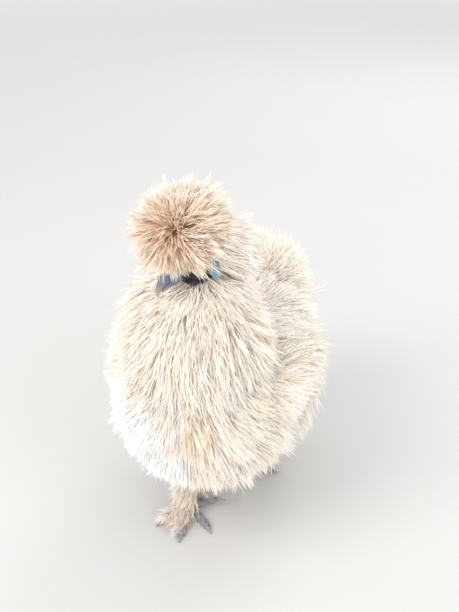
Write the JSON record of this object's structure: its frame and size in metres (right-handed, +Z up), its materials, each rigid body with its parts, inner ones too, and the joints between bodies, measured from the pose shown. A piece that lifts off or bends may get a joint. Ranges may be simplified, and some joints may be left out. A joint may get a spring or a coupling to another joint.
{
  "type": "silkie chicken",
  "caption": "Life-size standing silkie hen with a round feather crest, fluffed white coat, turned head and five-toed feathered feet.",
  "frame": {"origin": "on the floor under the middle of the hen's bounding box", "axes": "+Z up, +X towards the hen's left side, -Y the way its body faces"},
  "size_m": [0.1907, 0.2722, 0.3337],
  "materials": {
    "plumage": "loose white down with fine matt strands",
    "hackle": "loose cream down with a few tan strands",
    "crest": "loose buff down, paler at the tips",
    "face": "dark mulberry skin, finely wrinkled, slightly glossy",
    "beak": "slate horn with a paler tip",
    "eye": "very dark brown, wet and glossy",
    "earlobe": "turquoise skin, matt",
    "leg": "dark grey-mauve scales",
    "claw": "greyish horn"
  },
  "bodies": {
    "root": {"beak_lower": "beak", "beak_upper": "beak", "claw_left_1": "claw", "claw_left_2": "claw", "claw_left_3": "claw", "claw_left_4": "claw", "claw_left_5": "claw", "claw_right_1": "claw", "claw_right_2": "claw", "claw_right_3": "claw", "claw_right_4": "claw", "claw_right_5": "claw", "comb": "face", "crest": "crest", "earlobe_left": "earlobe", "earlobe_right": "earlobe", "eye_left": "eye", "eye_right": "eye", "head": "face", "neck": "hackle", "shank_left": "leg", "shank_right": "leg", "tail": "plumage", "thigh_left": "plumage", "thigh_right": "plumage", "toe_left_1": "leg", "toe_left_2": "leg", "toe_left_3": "leg", "toe_left_4": "leg", "toe_left_5": "leg", "toe_right_1": "leg", "toe_right_2": "leg", "toe_right_3": "leg", "toe_right_4": "leg", "toe_right_5": "leg", "torso": "plumage", "wattle_left": "face", "wattle_right": "face", "wing_left": "plumage", "wing_right": "plumage"}
  },
  "joints": []
}
